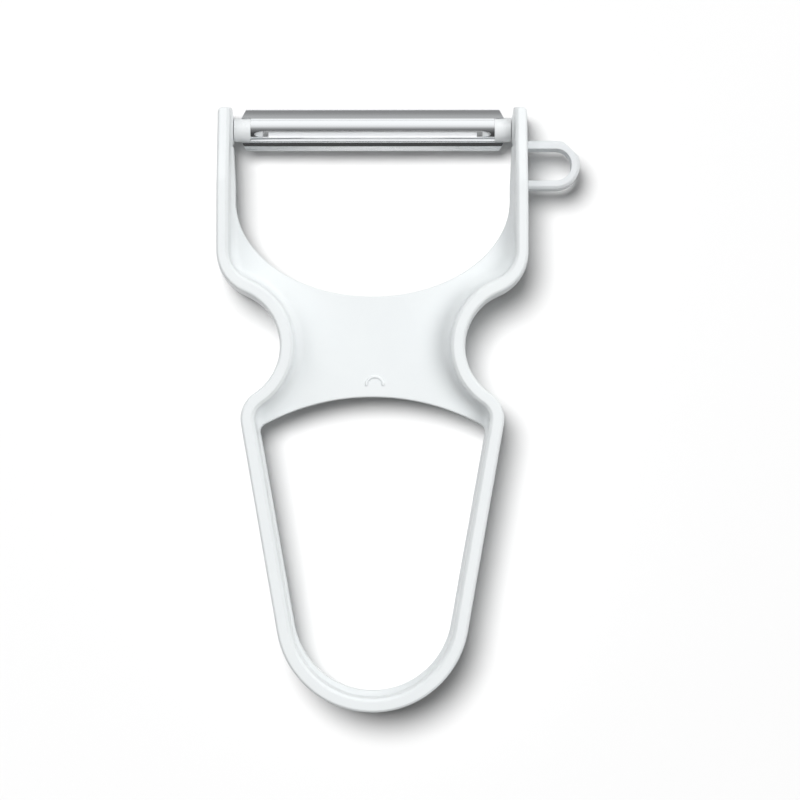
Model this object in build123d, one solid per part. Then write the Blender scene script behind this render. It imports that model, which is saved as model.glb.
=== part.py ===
from build123d import *
from math import acos, degrees, radians, sqrt, tan
import os

# Vegetable peeler: a wide fork with a swivelling, slotted blade, and a finger loop.
# Millimetres. X is the peeler's width, Y runs from the finger loop to the blade, and Z is up
# when it lies flat. It is drawn with X = 0 in the handle's middle and Y = 0 at the loop's end.

# Handle frame, seen from the front. Its edge is a chain of arcs, each touching the next.
frame_length = 108.6
arm_half_width = 28.1
arm_width = 3.35
arm_length = 26.0
arm_tip_lean = 0.2
arm_lean_length = 14.6
arm_tip_radius = 1.1
corner_radius = 8.5
waist_half_width = 16.7
waist_radius = 10.0
shoulder_half_width = 23.7
shoulder_radius = 5.75
loop_end_radius = 17.4

# Handle frame, through its depth
frame_depth = 12.0
arm_slope_length = 13.4
arm_slope_depth = 1.7
arm_slope_blend = 3.0
plate_thickness = 2.2
rim_width = 2.1
loop_rim_widening = 0.3
rim_outer_bevel = 0.3
rim_inner_bevel = 0.5
outer_draft = 2.5
inner_draft = 4.0
cove_radius = 1.6
ledge_slope_height = 1.2
ledge_slope_width = 0.87

# Openings in the plate
plate_above_waist = 9.0
plate_below_waist = 9.0
fork_gap_arc_depth = 17.5
fork_gap_flare_length = 7.0
loop_gap_top_radius = 41.0
loop_gap_inset = 3.15
loop_gap_end_rise = 0.75
loop_gap_corner_radius = 1.4

# Pivot pads inside the arms
pivot_from_tip = 3.8
pad_radius = 3.2
pad_height = 0.3
pad_bevel_width = 0.9
pad_bevel_depth = 0.3

# Blade
rest_turn = 24.0
sheet = 0.4
bulge_radius = 2.16
bend_radius = 0.3
upper_wing_tip = 3.66
lower_wing_tip = 3.95
wing_slant = 0.9
wing_gap = 0.12
upper_wing_slope = 29.0
upper_wing_radius = 9.0
lower_wing_bend = 2.95
lower_wing_slope = 27.0
blade_end_gap = 1.35
slot_margin = 0.7
slot_upper_edge = 0.48
slot_lower_edge = 0.83
slot_end_length = 2.5
lip_reach = 0.78
lip_drop = 0.9
lip_root = 0.17

# Pivot plugs
tongue_length = 2.2
plug_body_length = 2.98
shoulder_gap = 0.12
pin_radius = 1.3
pin_clearance = 0.05
pin_recess = 0.25
pin_bevel = 0.25

# Eye remover
eye_from_tip = 10.4
eye_half_height = 4.35
eye_reach = 9.2
eye_band = 1.5
eye_depth = 5.0
eye_bevel = 0.45
eye_flat_depth = 0.4

# Room that a cutting shape reaches past what it cuts
overrun = 2.0

# Worked out from the sizes above: the handle's edge
corner_x = arm_half_width - corner_radius
waist_x = waist_half_width + waist_radius
shoulder_x = shoulder_half_width - shoulder_radius
corner_y = frame_length - arm_length
waist_y = corner_y - sqrt((corner_radius + waist_radius) ** 2 - (waist_x - corner_x) ** 2)
shoulder_y = waist_y - sqrt((waist_radius + shoulder_radius) ** 2 - (waist_x - shoulder_x) ** 2)
arm_tip_half_width = arm_half_width - arm_tip_lean
widest_half = max(arm_half_width, shoulder_half_width)

# Worked out: walls and openings
mid_z = frame_depth / 2
recess_depth = (frame_depth - plate_thickness) / 2
mouth_inset = rim_width + mid_z * tan(radians(outer_draft))
foot_inset = mouth_inset + recess_depth * tan(radians(inner_draft))
arm_wall_half_span = arm_half_width - foot_inset
fork_gap_half_width = arm_half_width - arm_width
fork_gap_arc_y = waist_y + plate_above_waist + fork_gap_arc_depth
loop_gap_top_y = waist_y - plate_below_waist
loop_gap_half_width = shoulder_half_width - loop_gap_inset
loop_gap_sag = loop_gap_top_radius - sqrt(loop_gap_top_radius**2 - loop_gap_half_width**2)
cove_end_y = loop_gap_top_y - loop_gap_sag - loop_gap_corner_radius

# Worked out: what swivels between the arms
pivot_y = frame_length - pivot_from_tip
pad_low_y = pivot_y - pad_radius
pad_half_span = arm_wall_half_span - pad_height
plug_shoulder_x = pad_half_span - shoulder_gap
bulge_half_length = plug_shoulder_x - plug_body_length
wing_root_half_length = pad_half_span - blade_end_gap
wing_tip_half_length = wing_root_half_length - wing_slant
slot_half_length = bulge_half_length - slot_margin
slot_half_width = (slot_upper_edge + slot_lower_edge) / 2
slot_straight_half = slot_half_length - slot_end_length
bore_radius = bulge_radius - sheet

# The middle of the whole peeler's box
box_centre = Vector(eye_reach / 2, frame_length / 2)


def touching_line(centre_a, radius_a, centre_b, radius_b):
    """Ends of the straight edge that touches two circles on the same side."""
    step = centre_b - centre_a
    swing = acos((radius_a - radius_b) / step.length)
    normal = step.normalized().rotate(Axis.Z, degrees(swing))
    return centre_a + normal * radius_a, centre_b + normal * radius_b


def loop_side(inset, end_rise=0):
    """Ends of the loop's straight side on the right, drawn in by inset: shoulder first."""
    shoulder = Vector(shoulder_x, shoulder_y)
    loop_end = Vector(0, loop_end_radius + end_rise)
    return touching_line(shoulder, shoulder_radius - inset, loop_end, loop_end_radius - inset)


def both_halves(right):
    """A face from its right-hand edge, mirrored to the left and closed straight across the top."""
    left = mirror(right, about=Plane.YZ)
    top = Line(left @ 0, right @ 0)
    return make_face(right.edges() + left.edges() + [top.edge()])


def plan(inset, arm_end, widening=0):
    """The whole handle's plan, drawn in by inset, and by widening less along the arms.

    arm_end is the right arm's edge near its tip.
    """
    waist = Vector(waist_x, waist_y)
    across = waist_x - corner_x - widening
    above = sqrt((corner_radius + waist_radius) ** 2 - across**2)
    corner = waist + Vector(-across, above)
    shoulder = Vector(shoulder_x, shoulder_y)
    into_waist = corner + (waist - corner).normalized() * (corner_radius - inset)
    out_of_waist = waist + (shoulder - waist).normalized() * (waist_radius + inset)
    side_start, side_end = loop_side(inset)
    arm = Polyline(*arm_end, (arm_half_width - inset + widening, corner.Y))
    corner_arc = TangentArc(arm @ 1, into_waist, tangent=arm % 1)
    waist_arc = TangentArc(into_waist, out_of_waist, tangent=corner_arc % 1)
    shoulder_arc = TangentArc(out_of_waist, side_start, tangent=waist_arc % 1)
    side = Line(side_start, side_end)
    end_arc = TangentArc(side_end, (0, inset), tangent=side % 1)
    return both_halves(Curve() + [arm, corner_arc, waist_arc, shoulder_arc, side, end_arc])


def side_view():
    """The frame seen from the side: both faces of the arms slope in towards the tips."""
    slope_start_y = frame_length - arm_slope_length
    outline = Polyline(
        (-overrun, 0),
        (slope_start_y, 0),
        (frame_length, arm_slope_depth),
        (frame_length, frame_depth - arm_slope_depth),
        (slope_start_y, frame_depth),
        (-overrun, frame_depth),
        close=True,
    )
    side = make_face(outline)
    creases = side.vertices().group_by(Axis.X)[1]
    return Plane.YZ * fillet(creases, arm_slope_blend)


def outer_block():
    """The moulding before it is hollowed, drafted both ways from the parting line at mid depth."""
    tip = (arm_tip_half_width, frame_length)
    lean_start = (arm_half_width, frame_length - arm_lean_length)
    outline = plan(0, [tip, lean_start])
    outline = fillet(outline.vertices().group_by(Axis.Y)[-1], arm_tip_radius)
    half = extrude(outline, amount=mid_z, taper=outer_draft)
    block = Pos(0, 0, mid_z) * (half + mirror(half, about=Plane.XY))
    return block & extrude(side_view(), amount=widest_half, both=True)


def recess():
    """What is hollowed out of the front, with a cove by the plate and a plain slope in the loop."""
    top_y = frame_length + corner_radius + overrun
    arm_end = [(arm_half_width - mouth_inset, top_y)]
    mouth = plan(mouth_inset + loop_rim_widening, arm_end, loop_rim_widening)
    mouth = fillet(mouth.vertices().group_by(Axis.Y)[-1], corner_radius)
    hollow = extrude(mouth, amount=-recess_depth, taper=inner_draft)
    foot = hollow.faces().sort_by(Axis.Z)[0]
    low_end = Align.CENTER, Align.MAX, Align.MAX
    in_loop = Pos(0, cove_end_y) * Box(2 * widest_half, frame_length, recess_depth, align=low_end)
    round_foot = fillet(foot.edges(), cove_radius) - in_loop
    sloped_foot = chamfer(foot.edges(), ledge_slope_height, ledge_slope_width) & in_loop
    return Pos(0, 0, frame_depth) * (round_foot + sloped_foot)


def fork_gap():
    """The gap below the blade. Its sides flare to the pads' faces, and half an ellipse ends it."""
    flare_start_y = pad_low_y - fork_gap_flare_length
    between_arms = Polyline(
        (-fork_gap_half_width, fork_gap_arc_y),
        (-fork_gap_half_width, flare_start_y),
        (-pad_half_span, pad_low_y),
        (pad_half_span, pad_low_y),
        (fork_gap_half_width, flare_start_y),
        (fork_gap_half_width, fork_gap_arc_y),
        close=True,
    )
    foot = Pos(0, fork_gap_arc_y) * Ellipse(fork_gap_half_width, fork_gap_arc_depth)
    beside_pads = Rectangle(
        2 * arm_wall_half_span, pivot_from_tip + pad_radius + overrun, align=(Align.CENTER, Align.MIN)
    )
    gap = make_face(between_arms) + foot + Pos(0, pad_low_y) * beside_pads
    return extrude(gap, amount=frame_depth)


def loop_gap():
    """The finger loop's opening: its sides and end drawn in, closed at the top by a flat arc."""
    side_start, side_end = loop_side(loop_gap_inset, loop_gap_end_rise)
    beyond = side_start + (side_start - side_end).normalized() * shoulder_radius
    side = Line(beyond, side_end)
    end_arc = TangentArc(side_end, (0, loop_gap_inset + loop_gap_end_rise), tangent=side % 1)
    sides = both_halves(Curve() + [side, end_arc])
    below = Rectangle(2 * loop_gap_top_radius, frame_length, align=(Align.CENTER, Align.MAX))
    arc = Pos(0, loop_gap_top_y - loop_gap_top_radius) * (Circle(loop_gap_top_radius) + below)
    gap = sides & arc
    corners = gap.vertices().group_by(Axis.Y)[-1]
    return extrude(fillet(corners, loop_gap_corner_radius), amount=frame_depth)


def rim_edges(frame):
    """The edges round the rim's front and back faces, without those across the arms."""
    faces = [
        face
        for face in frame.faces()
        if abs(face.center().Z - mid_z) > mid_z - arm_slope_depth
        and abs(face.normal_at().Z) > abs(face.normal_at().Y)
        and abs(face.normal_at().Z) > abs(face.normal_at().X)
    ]
    edges = [edge for face in faces for edge in face.edges()]
    return [edge for edge in edges if sum(edge.is_same(other) for other in edges) == 1]


def is_among(edge, others):
    """Whether the edge runs along one of the others."""
    return min(other.distance_to(edge @ 0.5) for other in others) < rim_width / 2


def pivot_pad():
    """The flat round pad inside the right arm that the plug's shoulder runs against."""
    root_x = (arm_wall_half_span + arm_tip_half_width) / 2
    pad = extrude(Plane.YZ * Circle(pad_radius), amount=root_x - pad_half_span)
    face = pad.faces().sort_by(Axis.X)[0]
    pad = chamfer(face.edges(), pad_bevel_depth, pad_bevel_width)
    return Pos(pad_half_span, pivot_y, mid_z) * pad


def handle_frame():
    """Arms, waist plate and finger loop in one moulding, with the deep rim round its edge."""
    block = outer_block()
    outside = rim_edges(block)
    hollow = recess()
    frame = block - hollow - mirror(hollow, about=Plane.XY.offset(mid_z))
    frame = frame - fork_gap() - loop_gap()
    edges = rim_edges(frame)
    outer = [edge for edge in edges if is_among(edge, outside)]
    inner = [edge for edge in edges if not is_among(edge, outside)]
    frame = chamfer(inner, rim_inner_bevel)
    frame = chamfer([edge for edge in rim_edges(frame) if is_among(edge, outer)], rim_outer_bevel)
    pad = pivot_pad()
    frame = frame + pad + mirror(pad, about=Plane.YZ)
    hole = Cylinder(pin_radius + pin_clearance, 2 * arm_half_width, rotation=(0, 90, 0))
    return frame - Pos(0, pivot_y, mid_z) * hole


def eye_remover(frame):
    """The half-round loop on the right arm, bevelled, with a flat on the curve's upper half."""
    straight = eye_reach - eye_half_height
    root = arm_tip_lean + rim_width / 2
    band = SlotCenterToCenter(2 * (straight + root), 2 * eye_half_height)
    inner = SlotCenterToCenter(2 * (straight + root), 2 * (eye_half_height - eye_band))
    right_half = Rectangle(eye_reach + root, 2 * eye_half_height, align=(Align.MIN, Align.CENTER))
    loop = extrude((band - inner) & right_half, amount=eye_depth / 2, both=True)
    outside = [
        edge
        for edge in loop.edges()
        if edge.geom_type == GeomType.CIRCLE and edge.radius > eye_half_height - eye_band / 2
    ]
    loop = chamfer(outside, eye_bevel)
    side = 2 * eye_half_height
    flat = Rot(0, 0, 45) * Pos(eye_half_height - eye_flat_depth, 0) * Box(
        side, side, side, align=(Align.MIN, Align.CENTER, Align.CENTER)
    )
    loop = loop - Pos(straight + root, 0) * flat
    loop = Pos(arm_half_width - root, frame_length - eye_from_tip, mid_z) * loop
    return loop - frame


def under_wings(depth):
    """What lies under the wings' top faces, moved down by depth, in the blade's section."""
    upper_centre = Vector(bulge_radius, sheet) + Vector(0, upper_wing_radius).rotate(
        Axis.Z, -upper_wing_slope
    )
    upper = Rectangle(upper_wing_tip, 2 * bulge_radius, align=(Align.MIN, Align.CENTER))
    upper -= Pos(upper_centre) * Circle(upper_wing_radius + depth)
    bend_x = lower_wing_bend - depth * tan(radians(lower_wing_slope / 2))
    tip_z = sheet - depth - (lower_wing_tip - bend_x) * tan(radians(lower_wing_slope))
    lower = Polyline(
        (0, sheet - depth),
        (-bend_x, sheet - depth),
        (-lower_wing_tip, tip_z),
        (-lower_wing_tip, -bulge_radius),
        (0, -bulge_radius),
        close=True,
    )
    return upper + make_face(lower)


def blade_section():
    """The strip's section: a half-round bulge between two wings that are turned down."""
    section = Circle(bulge_radius) + under_wings(0) - Circle(bore_radius) - under_wings(sheet)
    bend_limit = (bulge_radius + lower_wing_tip) / 2
    bends = [corner for corner in section.vertices() if abs(corner.X) < bend_limit]
    return Plane.YZ * fillet(bends, bend_radius)


def blade_outline():
    """The blade seen square on: slanted wing ends, and a window at each end for its plug."""
    wings = Polyline(
        (wing_root_half_length, -bulge_radius),
        (wing_root_half_length, bulge_radius),
        (wing_tip_half_length, upper_wing_tip),
        (-wing_tip_half_length, upper_wing_tip),
        (-wing_root_half_length, bulge_radius),
        (-wing_root_half_length, -bulge_radius),
        (-wing_tip_half_length, -lower_wing_tip),
        (wing_tip_half_length, -lower_wing_tip),
        close=True,
    )
    window = Rectangle(
        wing_root_half_length, 2 * (bulge_radius + wing_gap), align=(Align.MIN, Align.CENTER)
    )
    right = Pos(bulge_half_length, 0) * window
    return make_face(wings) - right - mirror(right, about=Plane.YZ)


def slot_outline():
    """The slot seen square on, running out in a long curve at each end."""
    slot = Rectangle(2 * slot_straight_half, 2 * slot_half_width)
    for side in (-1, 1):
        slot += Pos(side * slot_straight_half, 0) * Ellipse(slot_end_length, slot_half_width)
    return Pos(0, slot_upper_edge - slot_half_width) * slot


def cutting_lip():
    """The slot's lower edge, turned in under the bulge and ground to a wedge."""
    root_x = slot_lower_edge + lip_root
    crest = Vector(-slot_lower_edge, sqrt(bulge_radius**2 - slot_lower_edge**2))
    edge = crest + Vector(lip_reach, -lip_drop)
    root = Vector(-root_x, sqrt(bore_radius**2 - root_x**2))
    wedge = make_face(Polyline(crest, edge, root, close=True))
    return extrude(Plane.YZ * wedge, amount=slot_straight_half, both=True)


def peeling_blade():
    """The pressed steel strip, bulge up, with its slot and the cutting lip inside it."""
    strip = extrude(blade_section(), amount=wing_root_half_length, both=True)
    strip = strip & extrude(blade_outline(), amount=bulge_radius, both=True)
    slot = extrude(slot_outline(), amount=bulge_radius + overrun)
    return strip - slot + cutting_lip()


def pivot_plug():
    """The right-hand plug: tongue under the bulge, full-round body, and the pin in the arm."""
    pin_end_x = arm_tip_half_width - pin_recess
    spans = [
        (bore_radius, bulge_half_length - tongue_length, bulge_half_length),
        (bulge_radius, bulge_half_length, plug_shoulder_x),
        (pin_radius, plug_shoulder_x, pin_end_x),
    ]
    plug = Part()
    for radius, start, end in spans:
        plug += extrude(Plane.YZ.offset(start) * Circle(radius), amount=end - start)
    return chamfer(plug.faces().sort_by(Axis.X)[-1].edges(), pin_bevel)


def write(name, shape):
    """Moves a piece so that the origin is under the middle of the peeler's box, and writes it."""
    shape = Pos(-box_centre.X, -box_centre.Y, 0) * shape
    shape.label = name
    export_step(shape, f"parts/{name}.step")


os.makedirs("parts", exist_ok=True)
frame = handle_frame()
on_pivot = Pos(0, pivot_y, mid_z) * Rot(rest_turn, 0, 0)
right_plug = pivot_plug()

write("handle_frame", frame)
write("eye_remover", eye_remover(frame))
write("peeling_blade", on_pivot * peeling_blade())
write("pivot_plug_right", on_pivot * right_plug)
write("pivot_plug_left", on_pivot * mirror(right_plug, about=Plane.YZ))
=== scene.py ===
from math import atan2, cos, pi, radians, sin

import bmesh
import bpy
from mathutils import Matrix, Vector


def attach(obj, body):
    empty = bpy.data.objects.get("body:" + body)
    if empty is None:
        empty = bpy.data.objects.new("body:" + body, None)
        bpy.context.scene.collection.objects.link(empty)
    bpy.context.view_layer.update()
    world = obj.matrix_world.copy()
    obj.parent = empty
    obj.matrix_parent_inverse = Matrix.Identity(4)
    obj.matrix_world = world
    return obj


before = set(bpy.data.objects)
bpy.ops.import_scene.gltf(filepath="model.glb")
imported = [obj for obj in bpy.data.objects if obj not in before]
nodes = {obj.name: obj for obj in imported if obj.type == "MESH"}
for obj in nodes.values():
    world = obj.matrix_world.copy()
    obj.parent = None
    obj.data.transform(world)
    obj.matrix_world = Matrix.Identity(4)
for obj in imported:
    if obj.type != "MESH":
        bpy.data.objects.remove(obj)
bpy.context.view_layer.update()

# View, floor and light: the peeler lies flat on a white sheet, under a long lens nearly straight
# above, and is lit mostly from the right. The sheet has two lamps of its own, so that the shadows
# fall close by on the lower right. Steel and gloss mirror a room that is brightest past the blade.
picture_centre = Vector((0.00033, 0.00168, 0.006))
camera_from_centre = Vector((0.003, -0.022, 0.550))
picture_width = 0.144

camera_data = bpy.data.cameras.new("camera")
camera_data.sensor_width = 36.0
camera_data.lens = camera_data.sensor_width * camera_from_centre.length / picture_width
camera_data.clip_start = 0.01
camera_data.clip_end = 20.0
camera = bpy.data.objects.new("camera", camera_data)
camera.location = picture_centre + camera_from_centre
camera.rotation_euler = (
    atan2(-camera_from_centre.y, camera_from_centre.z),
    atan2(camera_from_centre.x, camera_from_centre.z),
    0.0,
)
bpy.context.scene.collection.objects.link(camera)
bpy.context.scene.camera = camera
bpy.context.scene.view_settings.view_transform = "Standard"


def fill(tree, sockets, values):
    """Link each socket to another node's output, or set it to a plain number, vector or colour."""
    for name, value in values.items():
        socket = sockets[name]
        if isinstance(value, bpy.types.NodeSocket):
            tree.links.new(value, socket)
        elif socket.type == "RGBA":
            socket.default_value = (*value, 1.0)
        else:
            socket.default_value = value


def math_node(tree, operation, *values):
    node = tree.nodes.new("ShaderNodeMath")
    node.operation = operation
    fill(tree, node.inputs, dict(enumerate(values)))
    return node.outputs["Value"]


def mix_colours(tree, share, first, second, blend="MIX"):
    mix = tree.nodes.new("ShaderNodeMix")
    mix.data_type = "RGBA"
    mix.blend_type = blend
    low, high = [place for place, socket in enumerate(mix.inputs) if socket.type == "RGBA"]
    fill(tree, mix.inputs, {"Factor": share, low: first, high: second})
    return next(socket for socket in mix.outputs if socket.type == "RGBA")


def seen_or_mirrored(tree):
    """1 where a camera, glossy or transmission ray looks, and 0 where light is gathered."""
    path = tree.nodes.new("ShaderNodeLightPath")
    seen = math_node(tree, "MAXIMUM", path.outputs["Is Camera Ray"], path.outputs["Is Glossy Ray"])
    return math_node(tree, "MAXIMUM", seen, path.outputs["Is Transmission Ray"])


sheet_half_size = 4.0
sheet_mesh = bpy.data.meshes.new("white_sheet")
sheet_shape = bmesh.new()
bmesh.ops.create_grid(sheet_shape, x_segments=1, y_segments=1, size=sheet_half_size)
sheet_shape.to_mesh(sheet_mesh)
sheet_shape.free()
sheet = bpy.data.objects.new("white_sheet", sheet_mesh)
bpy.context.scene.collection.objects.link(sheet)

# The sheet passes on less light than it shows, so that it leaves the peeler's walls and its own
# shadows dark.
sheet_passing_grey = (0.42, 0.42, 0.42)
sheet_seen_grey = (0.78, 0.78, 0.78)
sheet_white = bpy.data.materials.new("sheet_white")
sheet_white.use_nodes = True
sheet_tree = sheet_white.node_tree
fill(sheet_tree, sheet_tree.nodes["Principled BSDF"].inputs, {
    "Base Color": mix_colours(sheet_tree, seen_or_mirrored(sheet_tree), sheet_passing_grey,
                              sheet_seen_grey),
    "Roughness": 0.9,
    "Specular IOR Level": 0.0,
})
sheet_mesh.materials.append(sheet_white)

# Grey levels of the room, each at one part of the way that a ray goes, from -1 to 1. The room is
# dark past the loop and bright past the blade, and its low walls are lit by the sheet.
room_along = (
    (-1.0, 0.05), (-0.6, 0.06), (-0.14, 0.17), (0.10, 0.27),
    (0.28, 0.50), (0.42, 0.70), (0.71, 0.92), (1.0, 1.0),
)
room_low_down = ((0.0, 0.75), (0.12, 0.45), (0.30, 0.0))
room_seen_grey = (0.74, 0.74, 0.74)
room_strength = 1.25

room = bpy.data.worlds.new("room")
bpy.context.scene.world = room
room.use_nodes = True
room_tree = room.node_tree
room_way = room_tree.nodes.new("ShaderNodeTexCoord")
room_parts = room_tree.nodes.new("ShaderNodeSeparateXYZ")
fill(room_tree, room_parts.inputs, {"Vector": room_way.outputs["Generated"]})


def room_ramp(part, steps):
    """The grey level at this part of the way, with -1 to 1 laid over the ramp's 0 to 1."""
    ramp = room_tree.nodes.new("ShaderNodeValToRGB")
    fill(room_tree, ramp.inputs, {"Fac": math_node(room_tree, "MULTIPLY_ADD", part, 0.5, 0.5)})
    while len(ramp.color_ramp.elements) < len(steps):
        ramp.color_ramp.elements.new(0.5)
    for element, (way, level) in zip(ramp.color_ramp.elements, steps):
        element.position = way / 2 + 0.5
        element.color = (level, level, level, 1.0)
    return ramp.outputs["Color"]


room_mirrored = mix_colours(room_tree, 1.0, room_ramp(room_parts.outputs["Y"], room_along),
                            room_ramp(room_parts.outputs["Z"], room_low_down), blend="LIGHTEN")
room_seen = room_tree.nodes.new("ShaderNodeLightPath").outputs["Is Camera Ray"]
fill(room_tree, room_tree.nodes["Background"].inputs, {
    "Color": mix_colours(room_tree, room_seen, room_mirrored, room_seen_grey),
    "Strength": math_node(room_tree, "MULTIPLY", seen_or_mirrored(room_tree), room_strength),
})


def lamp_group(name, state):
    group = bpy.data.collections.new(name)
    group.objects.link(sheet)
    group.collection_objects[0].light_linking.link_state = state
    return group


def soft_lamp(name, turn, tilt, reach, size, level, lights):
    """A round lamp, turned clockwise from the blade's end and tilted from straight up.

    At a level of 1, a face turned to the lamp renders as its colour is written.
    """
    turn, tilt = radians(turn), radians(tilt)
    place = Vector((sin(tilt) * sin(turn), sin(tilt) * cos(turn), cos(tilt))) * reach
    lamp_data = bpy.data.lights.new(name, "AREA")
    lamp_data.shape = "DISK"
    lamp_data.size = size
    lamp_data.energy = level * pi * pi * place.length_squared
    lamp = bpy.data.objects.new(name, lamp_data)
    lamp.location = place
    lamp.rotation_euler = place.to_track_quat("Z", "Y").to_euler()
    lamp.visible_camera = False
    lamp.visible_glossy = False
    bpy.context.scene.collection.objects.link(lamp)
    lamp.light_linking.receiver_collection = lights


sheet_alone = lamp_group("sheet_alone", "INCLUDE")
all_but_sheet = lamp_group("all_but_sheet", "EXCLUDE")
soft_lamp("sheet_lamp", turn=-38, tilt=20.5, reach=5.0, size=2.7, level=1.27, lights=sheet_alone)
soft_lamp("sheet_sky", turn=0, tilt=0, reach=3.0, size=5.5, level=0.30, lights=sheet_alone)
for turn, tilt, level in ((0, 35, 0.27), (90, 35, 0.67), (270, 35, 0.285), (45, 65, 0.14),
                          (315, 65, 0.265)):
    soft_lamp(f"lamp_{turn}_{tilt}", turn, tilt, reach=1.2, size=0.8, level=level,
              lights=all_but_sheet)

# Handle frame: one white plastic moulding, forked to hold the blade and open at the other end for a
# finger. Its mould leaves a fine even skin, a faint parting line half-way down the walls, and edges
# that are slightly dulled where hands rub them.
skin_flow_share = 0.6
rub_strength = 0.5
rub_roughness = 0.12
rub_patch_scale = 700.0
parting_half_width = 0.0001
parting_half_crest = 0.00004
parting_ridge = 3.0
edge_samples = 6


def new_group(name, inputs, outputs):
    """A group with these inputs and their usual values. Its outputs are numbers."""
    group = bpy.data.node_groups.new(name, "ShaderNodeTree")
    for label, value in inputs.items():
        kind = "NodeSocketFloat" if isinstance(value, float) else "NodeSocketVector"
        socket = group.interface.new_socket(name=label, in_out="INPUT", socket_type=kind)
        socket.default_value = value
    for label in outputs:
        group.interface.new_socket(name=label, in_out="OUTPUT", socket_type="NodeSocketFloat")
    given = group.nodes.new("NodeGroupInput").outputs
    results = group.nodes.new("NodeGroupOutput").inputs
    return group, given, results


def place_group(tree, group, values):
    node = tree.nodes.new("ShaderNodeGroup")
    node.node_tree = group
    fill(tree, node.inputs, values)
    return node.outputs


def vector_node(tree, operation, first, second):
    node = tree.nodes.new("ShaderNodeVectorMath")
    node.operation = operation
    fill(tree, node.inputs, {0: first, 1: second})
    return node.outputs["Value" if operation == "DOT_PRODUCT" else "Vector"]


def noise_node(tree, vector, scale, detail, roughness):
    noise = tree.nodes.new("ShaderNodeTexNoise")
    fill(tree, noise.inputs, {"Vector": vector, "Scale": scale, "Detail": detail,
                              "Roughness": roughness})
    return noise.outputs["Fac"]


def range_node(tree, value, from_low, from_high, to_low=0.0, to_high=1.0):
    spread = tree.nodes.new("ShaderNodeMapRange")
    fill(tree, spread.inputs, {"Value": value, "From Min": from_low, "From Max": from_high,
                               "To Min": to_low, "To Max": to_high})
    return spread.outputs["Result"]


mould_skin, skin_given, skin_results = new_group(
    "mould_skin",
    {"Vector": (0.0, 0.0, 0.0), "Grain": 3500.0, "Flow": 90.0, "Smoothest": 0.3, "Roughest": 0.4},
    ("Height", "Roughness", "Cloud"),
)
skin_grain = noise_node(mould_skin, skin_given["Vector"], skin_given["Grain"],
                        detail=3.0, roughness=0.6)
skin_flow = noise_node(mould_skin, skin_given["Vector"], skin_given["Flow"],
                       detail=4.0, roughness=0.55)
fill(mould_skin, skin_results, {
    "Height": math_node(mould_skin, "MULTIPLY_ADD", skin_flow, skin_flow_share, skin_grain),
    "Roughness": range_node(mould_skin, skin_flow, from_low=0.3, from_high=0.7,
                            to_low=skin_given["Smoothest"], to_high=skin_given["Roughest"]),
    "Cloud": range_node(mould_skin, skin_flow, from_low=0.35, from_high=0.65),
})

edge_rub, rub_given, rub_results = new_group(
    "edge_rub",
    {"Vector": (0.0, 0.0, 0.0), "Patch": rub_patch_scale, "Normal": (0.0, 0.0, 0.0)},
    ("Mask",),
)
rub_bend = vector_node(edge_rub, "DOT_PRODUCT", rub_given["Normal"],
                       edge_rub.nodes.new("ShaderNodeNewGeometry").outputs["True Normal"])
rub_noise = noise_node(edge_rub, rub_given["Vector"], rub_given["Patch"],
                       detail=4.0, roughness=0.6)
rub_edge = range_node(edge_rub, rub_bend, from_low=0.995, from_high=0.93)
rub_patch = range_node(edge_rub, rub_noise, from_low=0.42, from_high=0.62)
fill(edge_rub, rub_results, {"Mask": math_node(edge_rub, "MULTIPLY", rub_edge, rub_patch)})


def rounded_edges(tree, radius):
    """Normals that turn over the edges within this radius."""
    rounded = tree.nodes.new("ShaderNodeBevel")
    rounded.samples = edge_samples
    rounded.inputs["Radius"].default_value = radius
    return rounded.outputs["Normal"]


def bumped(tree, height, distance, normal):
    bump = tree.nodes.new("ShaderNodeBump")
    fill(tree, bump.inputs, {"Strength": 1.0, "Distance": distance, "Height": height,
                             "Normal": normal})
    return bump.outputs["Normal"]


def moulded_plastic(name, pale, deep, rubbed, edge_radius, grain, flow, smoothest, roughest,
                    grain_height, parting_height=None):
    """White plastic, clouded from pale to deep, with a parting line at this height if any."""
    material = bpy.data.materials.new(name)
    material.use_nodes = True
    tree = material.node_tree
    where = tree.nodes.new("ShaderNodeTexCoord").outputs["Object"]
    skin = place_group(tree, mould_skin, {"Vector": where, "Grain": grain, "Flow": flow,
                                          "Smoothest": smoothest, "Roughest": roughest})
    rounded = rounded_edges(tree, edge_radius)
    rub = place_group(tree, edge_rub, {"Vector": where, "Patch": rub_patch_scale,
                                       "Normal": rounded})["Mask"]
    body = mix_colours(tree, skin["Cloud"], pale, deep)
    height = skin["Height"]
    if parting_height is not None:
        parts = tree.nodes.new("ShaderNodeSeparateXYZ")
        fill(tree, parts.inputs, {"Vector": where})
        above = math_node(tree, "SUBTRACT", parts.outputs["Z"], parting_height)
        ridge = range_node(tree, math_node(tree, "ABSOLUTE", above), parting_half_crest,
                           parting_half_width, to_low=parting_ridge, to_high=0.0)
        height = math_node(tree, "ADD", height, ridge)
    fill(tree, tree.nodes["Principled BSDF"].inputs, {
        "Base Color": mix_colours(tree, math_node(tree, "MULTIPLY", rub, rub_strength), body,
                                  rubbed),
        "Roughness": math_node(tree, "MULTIPLY_ADD", rub, rub_roughness, skin["Roughness"]),
        "IOR": 1.49,
        "Normal": bumped(tree, height, grain_height, rounded),
    })
    return material


def dress(node, material):
    materials = nodes[node].data.materials
    materials.clear()
    materials.append(material)


handle_plastic = moulded_plastic(
    "white_handle_plastic",
    pale=(0.84, 0.87, 0.876),
    deep=(0.82, 0.85, 0.86),
    rubbed=(0.76, 0.78, 0.79),
    edge_radius=0.0004,
    grain=3500.0,
    flow=90.0,
    smoothest=0.28,
    roughest=0.40,
    grain_height=0.000004,
    parting_height=0.006,
)
dress("handle_frame", handle_plastic)

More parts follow.
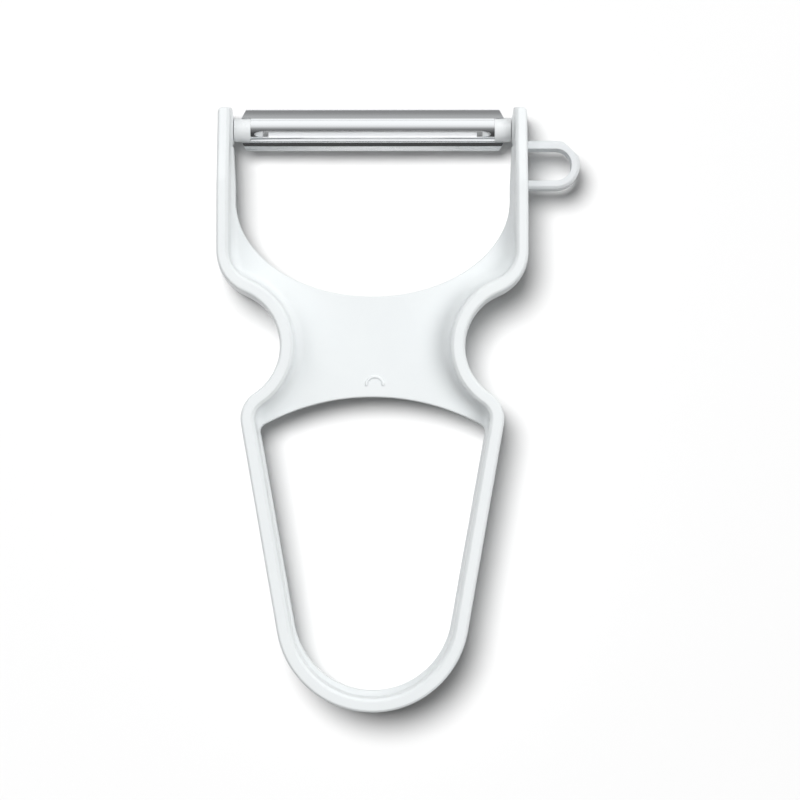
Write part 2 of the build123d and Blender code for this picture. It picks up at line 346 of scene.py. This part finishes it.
# Gate mark: the mould's gate left a fine raised half-ring on the plate, of the same plastic as the
# frame. It stands in the middle of the plate, above the loop's opening.
gate_place = Vector((-0.0042, 0.0043, 0.0071))
gate_radius = 0.0015
gate_half_width = 0.00027
gate_height = 0.0002
gate_sunk = 0.00004
gate_sides = 12
gate_arc = radians(190)
gate_turn = radians(-5)
gate_steps = 40

gate_mesh = bpy.data.meshes.new("gate_mark")
gate_shape = bmesh.new()
bmesh.ops.create_circle(gate_shape, cap_ends=True, segments=gate_sides, radius=1.0)
for corner in gate_shape.verts:
    across, up = corner.co.x, corner.co.y
    corner.co = gate_place + Vector((gate_radius + across * gate_half_width, 0.0,
                                     up * gate_height - gate_sunk * (up < 0)))
bmesh.ops.spin(gate_shape, geom=gate_shape.verts[:] + gate_shape.edges[:] + gate_shape.faces[:],
               cent=gate_place, axis=(0.0, 0.0, 1.0), angle=gate_arc, steps=gate_steps)
bmesh.ops.rotate(gate_shape, verts=gate_shape.verts[:], cent=gate_place,
                 matrix=Matrix.Rotation(gate_turn, 3, "Z"))
bmesh.ops.recalc_face_normals(gate_shape, faces=gate_shape.faces[:])
gate_shape.to_mesh(gate_mesh)
gate_shape.free()
gate_mesh.shade_smooth()
gate_mark = bpy.data.objects.new("gate_mark", gate_mesh)
bpy.context.scene.collection.objects.link(gate_mark)
gate_mesh.materials.append(handle_plastic)
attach(gate_mark, "frame")

# Eye remover: a loop of the same plastic, moulded on the side of the right arm, which cuts the eyes
# out of a potato. It is duller than the frame, because its part of the mould isn't polished, and
# its colour is painted greyer than the frame's, as painted shade where the arm keeps light off the
# loop.
eye_plastic_painted_shade = moulded_plastic(
    "white_eye_remover_plastic_painted_shade",
    # Greyer than the frame's white: painted shade, not a plastic of another colour.
    pale=(0.76, 0.785, 0.80),
    deep=(0.73, 0.755, 0.77),
    rubbed=(0.66, 0.68, 0.69),
    edge_radius=0.0003,
    grain=2600.0,
    flow=160.0,
    smoothest=0.36,
    roughest=0.50,
    grain_height=0.000006,
    parting_height=0.006,
)
dress("eye_remover", eye_plastic_painted_shade)

# Peeling blade: a strip of stainless steel, rolled to a bulge with a slot along it and a wing on
# each side. Its edges at the slot and on the lower wing are ground sharp, and rolling leaves fine
# lines along it. The lip at the slot is near white and mostly not metal: a painted reflection.
steel_colour = (0.765, 0.785, 0.80)
steel_rubbed_colour = (0.86, 0.87, 0.88)
steel_edge_radius = 0.00008
steel_rub_patch_scale = 1500.0
steel_line_stretch = (0.02, 1.0, 1.0)
steel_line_share = 0.6
steel_smear_share = 0.4
steel_bump_height = 0.0000006
# Near white: the ground edges' colour, and on the lip, with little metal, a painted reflection.
ground_and_painted_reflection_colour = (0.96, 0.975, 0.99)
ground_line_stretch = (1.0, 0.06, 0.06)
ground_line_strength = 2.0
ground_added_roughness = 0.16
lip_added_roughness = 0.12
# The lip's metal share is kept low so that it renders near white: a painted reflection.
lip_painted_reflection_metallic = 0.2

steel_grain, grain_given, grain_results = new_group(
    "steel_grain",
    {"Vector": (0.0, 0.0, 0.0), "Fineness": 9000.0, "Smoothest": 0.09, "Roughest": 0.17},
    ("Height", "Roughness"),
)
grain_along = vector_node(steel_grain, "MULTIPLY", grain_given["Vector"], steel_line_stretch)
grain_lines = noise_node(steel_grain, grain_along, grain_given["Fineness"],
                         detail=2.0, roughness=0.5)
grain_smears = noise_node(steel_grain, grain_given["Vector"], scale=220.0,
                          detail=3.0, roughness=0.6)
grain_both = math_node(steel_grain, "MULTIPLY_ADD", grain_lines, steel_line_share,
                       math_node(steel_grain, "MULTIPLY", grain_smears, steel_smear_share))
fill(steel_grain, grain_results, {
    "Height": grain_lines,
    "Roughness": range_node(steel_grain, grain_both, from_low=0.35, from_high=0.65,
                            to_low=grain_given["Smoothest"], to_high=grain_given["Roughest"]),
})

# The blade's section at rest, from its pivot: across the wings, and out of them to the bulge.
blade_pivot = Vector((-0.0046, 0.0505, 0.006))
blade_turn = radians(24.0)
across_wings = Vector((0.0, cos(blade_turn), sin(blade_turn)))
out_of_wings = Vector((0.0, -sin(blade_turn), cos(blade_turn)))
wing_ground_from = blade_pivot + across_wings * -0.00293
lip_ends_at = blade_pivot + across_wings * 0.00005
lip_face = blade_pivot + across_wings * -0.00083 + out_of_wings * 0.001994
lip_normal = across_wings * 0.756 + out_of_wings * 0.655
facet_fade = 0.00003


def way_along(tree, place, way, start):
    """How far a place lies along this way from the start, in metres."""
    return math_node(tree, "SUBTRACT", vector_node(tree, "DOT_PRODUCT", place, way),
                     start.dot(way))


def short_of(tree, place, way, start):
    """1 where a place lies short of the start, along this way, and 0 past it."""
    return range_node(tree, way_along(tree, place, way, start), facet_fade, -facet_fade)


ground_edges, ground_given, ground_results = new_group(
    "ground_edges",
    {"Vector": (0.0, 0.0, 0.0), "Fineness": 6000.0},
    ("Mask", "Lip", "Height"),
)
ground_place = ground_given["Vector"]
lip_off = math_node(ground_edges, "ABSOLUTE",
                    way_along(ground_edges, ground_place, lip_normal, lip_face))
lip_facet = math_node(ground_edges, "MULTIPLY",
                      range_node(ground_edges, lip_off, 2 * facet_fade, facet_fade),
                      short_of(ground_edges, ground_place, across_wings, lip_ends_at))
wing_facet = short_of(ground_edges, ground_place, across_wings, wing_ground_from)
ground_along = vector_node(ground_edges, "MULTIPLY", ground_place, ground_line_stretch)
fill(ground_edges, ground_results, {
    "Mask": math_node(ground_edges, "MAXIMUM", wing_facet, lip_facet),
    "Lip": lip_facet,
    "Height": noise_node(ground_edges, ground_along, ground_given["Fineness"],
                         detail=2.0, roughness=0.5),
})

blade_steel = bpy.data.materials.new("rolled_blade_steel")
blade_steel.use_nodes = True
steel_tree = blade_steel.node_tree
steel_where = steel_tree.nodes.new("ShaderNodeTexCoord").outputs["Object"]
steel_lines = place_group(steel_tree, steel_grain, {"Vector": steel_where})
steel_ground = place_group(steel_tree, ground_edges, {"Vector": steel_where})
steel_rounded = rounded_edges(steel_tree, steel_edge_radius)
steel_rub = place_group(steel_tree, edge_rub, {
    "Vector": steel_where, "Patch": steel_rub_patch_scale, "Normal": steel_rounded,
})["Mask"]
rolled_height = math_node(steel_tree, "MULTIPLY", steel_lines["Height"],
                          math_node(steel_tree, "SUBTRACT", 1.0, steel_ground["Mask"]))
ground_height = math_node(steel_tree, "MULTIPLY", steel_ground["Height"],
                          math_node(steel_tree, "MULTIPLY", steel_ground["Mask"],
                                    ground_line_strength))
ground_roughness = math_node(steel_tree, "MULTIPLY_ADD", steel_ground["Mask"],
                             ground_added_roughness, steel_lines["Roughness"])
fill(steel_tree, steel_tree.nodes["Principled BSDF"].inputs, {
    "Base Color": mix_colours(steel_tree, steel_ground["Mask"],
                              mix_colours(steel_tree, steel_rub, steel_colour,
                                          steel_rubbed_colour), ground_and_painted_reflection_colour),
    # On the lip the steel is turned mostly non-metal, for its painted reflection.
    "Metallic": range_node(steel_tree, steel_ground["Lip"], from_low=0.0, from_high=1.0,
                           to_low=1.0, to_high=lip_painted_reflection_metallic),
    "Roughness": math_node(steel_tree, "MULTIPLY_ADD", steel_ground["Lip"],
                           lip_added_roughness, ground_roughness),
    "Normal": bumped(steel_tree, math_node(steel_tree, "ADD", rolled_height, ground_height),
                     steel_bump_height, steel_rounded),
})
dress("peeling_blade", blade_steel)

# Pivot plugs: two small plastic plugs hold the blade's ends and turn on their pins in the arms.
# They are polished smoother than the handle, so that they swivel freely.
plug_plastic = moulded_plastic(
    "white_plug_plastic",
    pale=(0.80, 0.82, 0.83),
    deep=(0.785, 0.805, 0.815),
    rubbed=(0.72, 0.74, 0.75),
    edge_radius=0.00015,
    grain=5000.0,
    flow=400.0,
    smoothest=0.20,
    roughest=0.30,
    grain_height=0.000002,
)
dress("pivot_plug_left", plug_plastic)
dress("pivot_plug_right", plug_plastic)
